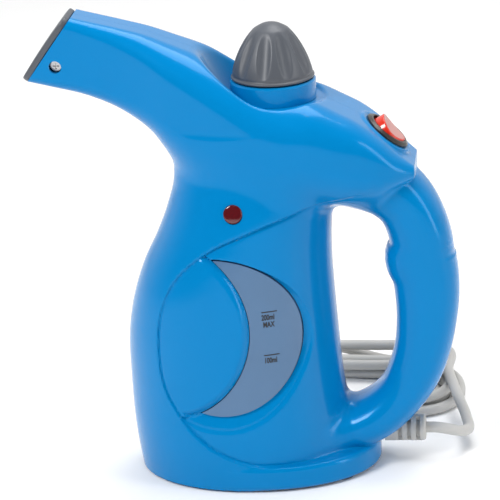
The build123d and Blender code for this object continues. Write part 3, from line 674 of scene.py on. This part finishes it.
def lettering(name, words, x, z, size):
    """A narrow printed word with its top left corner at x and z."""
    text = bpy.data.curves.new(name, "FONT")
    text.body, text.size, text.align_x, text.align_y = words, size, "LEFT", "TOP"
    text.offset = 0.09
    holder = bpy.data.objects.new(name, text)
    bpy.context.scene.collection.objects.link(holder)
    flat = bpy.data.meshes.new_from_object(holder.evaluated_get(bpy.context.evaluated_depsgraph_get()))
    bpy.data.objects.remove(holder)
    spots = [(x + v.co.x * 0.64, z + v.co.y) for v in flat.vertices]
    return print_on_tank(name, spots, [list(p.vertices) for p in flat.polygons])


def dash(name, x0, x1, z, thick):
    """A level line, laid in short lengths so that it follows the tank."""
    spots = [(x, z + side * thick / 2) for x in np.linspace(x0, x1, 13) for side in (-1, 1)]
    return print_on_tank(name, spots, [(i, i + 2, i + 3, i + 1) for i in range(0, 24, 2)])


marks = [
    dash("mark_line_high", 7.0, 14.4, 93.2, 0.5),
    lettering("mark_words_high", "200ml", 6.9, 92.3, 3.9),
    lettering("mark_words_full", "MAX", 7.6, 88.6, 3.9),
    dash("mark_line_low", 7.4, 14.8, 71.0, 0.5),
    lettering("mark_words_low", "100ml", 7.4, 70.1, 3.9),
]

# ---------------------------------------------------------------- materials


def material(name, colour, rough=0.4, metal=0.0, coat=0.0, bump=0.0, grain=900.0, vary=0.06, tone=0.03,
             **extra):
    """A procedural finish: fine grain in the bump, slow changes in roughness and tone."""
    m = bpy.data.materials.new(name)
    m.use_nodes = True
    nodes, links = m.node_tree.nodes, m.node_tree.links
    shader = nodes["Principled BSDF"]
    place = nodes.new("ShaderNodeTexCoord")
    slow = nodes.new("ShaderNodeTexNoise")
    slow.inputs["Scale"].default_value, slow.inputs["Detail"].default_value = 38.0, 3.0
    links.new(place.outputs["Object"], slow.inputs["Vector"])
    rough_range = nodes.new("ShaderNodeMapRange")
    rough_range.inputs["To Min"].default_value = max(rough - vary, 0.02)
    rough_range.inputs["To Max"].default_value = rough + vary
    links.new(slow.outputs["Fac"], rough_range.inputs["Value"])
    links.new(rough_range.outputs["Result"], shader.inputs["Roughness"])
    mix = nodes.new("ShaderNodeMix")
    mix.data_type = "RGBA"
    dark = [c * (1 - tone) for c in colour]
    light = [min(c * (1 + tone), 1.0) for c in colour]
    mix.inputs["A"].default_value = (*dark, 1)
    mix.inputs["B"].default_value = (*light, 1)
    links.new(slow.outputs["Fac"], mix.inputs["Factor"])
    links.new(mix.outputs["Result"], shader.inputs["Base Color"])
    fine = nodes.new("ShaderNodeTexNoise")
    fine.inputs["Scale"].default_value, fine.inputs["Detail"].default_value = grain, 4.0
    links.new(place.outputs["Object"], fine.inputs["Vector"])
    lift = nodes.new("ShaderNodeBump")
    lift.inputs["Strength"].default_value, lift.inputs["Distance"].default_value = bump, 0.0001
    links.new(fine.outputs["Fac"], lift.inputs["Height"])
    links.new(lift.outputs["Normal"], shader.inputs["Normal"])
    shader.inputs["Metallic"].default_value = metal
    shader.inputs["Coat Weight"].default_value = coat
    shader.inputs["Coat Roughness"].default_value = 0.06
    for key, value in extra.items():
        shader.inputs[key.replace("_", " ")].default_value = value
    return m


LOOKS = {
    "blue_plastic": material("blue_gloss", (0.0, 0.182, 0.455), 0.25, coat=0.20, bump=0.03, tone=0.02,
                             vary=0.04, Specular_IOR_Level=0.35, Specular_Tint=(0.05, 0.45, 1.0, 1.0)),
    "grey_plastic": material("grey_satin", (0.072, 0.080, 0.095), 0.42, bump=0.22, grain=2600.0),
    "black_plastic": material("black_gloss", (0.018, 0.016, 0.015), 0.26, bump=0.08),
    "red_plastic": material("red_gloss", (0.62, 0.022, 0.006), 0.20, coat=0.5, bump=0.03),
    "red_lens": material("red_lens_clear", (0.085, 0.004, 0.007), 0.12, coat=0.8),
    "clear_plastic": material("tank_clear", (0.070, 0.150, 0.275), 0.24, bump=0.04, tone=0.10),
    "silicone": material("silicone_milky", (0.62, 0.62, 0.58), 0.55, bump=0.10),
    "rubber": material("rubber_black", (0.03, 0.03, 0.03), 0.7, bump=0.35),
    "steel": material("steel_plated", (0.55, 0.55, 0.56), 0.28, metal=1.0, bump=0.08),
    "sheath_steel": material("steel_dulled", (0.34, 0.32, 0.30), 0.48, metal=1.0, bump=0.2),
    "cast_aluminium": material("aluminium_cast", (0.62, 0.62, 0.64), 0.5, metal=1.0, bump=0.5, grain=1800.0),
    "brass": material("brass_plain", (0.66, 0.47, 0.19), 0.33, metal=1.0, bump=0.08),
    "brass_pin": material("pin_nickel", (0.70, 0.69, 0.66), 0.22, metal=1.0, bump=0.06),
    "cord_grey": material("cord_matt", (0.46, 0.455, 0.44), 0.50, bump=0.16, grain=1500.0, tone=0.05),
    "wire_brown": material("wire_brown_pvc", (0.16, 0.06, 0.02), 0.45, bump=0.1),
    "wire_black": material("wire_black_pvc", (0.02, 0.02, 0.02), 0.45, bump=0.1),
    "wire_blue": material("wire_blue_pvc", (0.02, 0.08, 0.35), 0.45, bump=0.1),
}
INK = material("print_black", (0.012, 0.012, 0.013), 0.5, bump=0.05)


def paint(obj, look):
    """Gives an object one material."""
    obj.data.materials.clear()
    obj.data.materials.append(look)


for entry in frame["record"]["subparts"]:
    node = frame["nodes"][entry["node"]]
    paint(node, LOOKS[entry["material_slot"]])
    node.data.polygons.foreach_set("use_smooth", np.ones(len(node.data.polygons), bool))
for obj, look in (
    (left, "blue_plastic"), (right, "blue_plastic"), (cap, "grey_plastic"), (plate, "grey_plastic"),
    (rocker, "red_plastic"), (dome, "red_lens"), (coil, "steel"),
):
    paint(obj, LOOKS[look])
# The pale pink on the rocker's top is a painted highlight
paint(painted_highlight, material("rocker_painted_highlight_pink", (0.48, 0.17, 0.15), 0.3, coat=0.3, bump=0.02))
for mark in marks:
    paint(mark, INK)

# ---------------------------------------------------------------- studio

AZIMUTH, ELEVATION, ROLL = math.radians(7.0), math.radians(19.0), math.radians(2.9)
AIM = Vector((-1.5, 0, 113.0)) * MM
DISTANCE = 1.3
FLOOR = 4000


def studio():
    """A pale floor, a white surround that mirrors darker on the camera's side, and three soft lamps."""
    corners = np.array([(-FLOOR, -FLOOR, 0), (FLOOR, -FLOOR, 0), (FLOOR, FLOOR, 0), (-FLOOR, FLOOR, 0)])
    floor = mesh_object("floor", corners, [(0, 1, 2, 3)])
    paint(floor, material("floor_pale", (0.92, 0.92, 0.92), 0.6, bump=0.0, tone=0.0, grain=50.0))
    world = bpy.data.worlds.new("studio")
    bpy.context.scene.world = world
    world.use_nodes = True
    nodes, links = world.node_tree.nodes, world.node_tree.links
    nodes["Background"].inputs["Color"].default_value = (1, 1, 1, 1)
    facing = nodes.new("ShaderNodeSeparateXYZ")
    links.new(nodes.new("ShaderNodeTexCoord").outputs["Generated"], facing.inputs["Vector"])
    behind = nodes.new("ShaderNodeMapRange")
    behind.inputs["From Min"].default_value, behind.inputs["From Max"].default_value = -0.25, 0.45
    behind.inputs["To Min"].default_value, behind.inputs["To Max"].default_value = 0.05, 0.9
    links.new(facing.outputs["Y"], behind.inputs["Value"])
    ray = nodes.new("ShaderNodeLightPath")
    mirror = nodes.new("ShaderNodeMix")
    mirror.inputs["A"].default_value = 0.50
    links.new(ray.outputs["Is Glossy Ray"], mirror.inputs["Factor"])
    links.new(behind.outputs["Result"], mirror.inputs["B"])
    plain = nodes.new("ShaderNodeMix")
    plain.inputs["B"].default_value = 1.0
    links.new(ray.outputs["Is Camera Ray"], plain.inputs["Factor"])
    links.new(mirror.outputs["Result"], plain.inputs["A"])
    links.new(plain.outputs["Result"], nodes["Background"].inputs["Strength"])

    def lamp(name, place, aim, size, power, height=None):
        light = bpy.data.lights.new(name, "AREA")
        light.shape = "RECTANGLE"
        light.size, light.size_y, light.energy = size, height or size, power
        obj = bpy.data.objects.new(name, light)
        bpy.context.scene.collection.objects.link(obj)
        obj.location = place
        obj.rotation_mode = "QUATERNION"
        obj.rotation_quaternion = (Vector(place) - Vector(aim)).to_track_quat("Z", "Y")

    lamp("key", (-0.95, -1.05, 1.45), (0, 0, 0.12), 0.6, 27)
    lamp("side", (1.5, -0.55, 0.6), (0, 0, 0.12), 0.35, 9, 1.3)
    lamp("top", (0.25, 0.35, 1.6), (0, 0, 0.15), 0.9, 16)


studio()

flat = math.cos(ELEVATION)
back = Vector((math.sin(AZIMUTH) * flat, -math.cos(AZIMUTH) * flat, math.sin(ELEVATION)))
across = Vector((math.cos(AZIMUTH), math.sin(AZIMUTH), 0))
upward = back.cross(across)
camera_data = bpy.data.cameras.new("camera")
camera_data.sensor_width, camera_data.lens = 36.0, 187.2
camera_data.clip_start, camera_data.clip_end = 0.05, 20.0
camera = bpy.data.objects.new("camera", camera_data)
bpy.context.scene.collection.objects.link(camera)
turned_x = across * math.cos(ROLL) - upward * math.sin(ROLL)
turned_y = across * math.sin(ROLL) + upward * math.cos(ROLL)
turned = Matrix((turned_x, turned_y, back)).transposed().to_4x4()
camera.matrix_world = Matrix.Translation(AIM + back * DISTANCE) @ turned
bpy.context.scene.camera = camera
bpy.context.scene.view_settings.view_transform = "Standard"
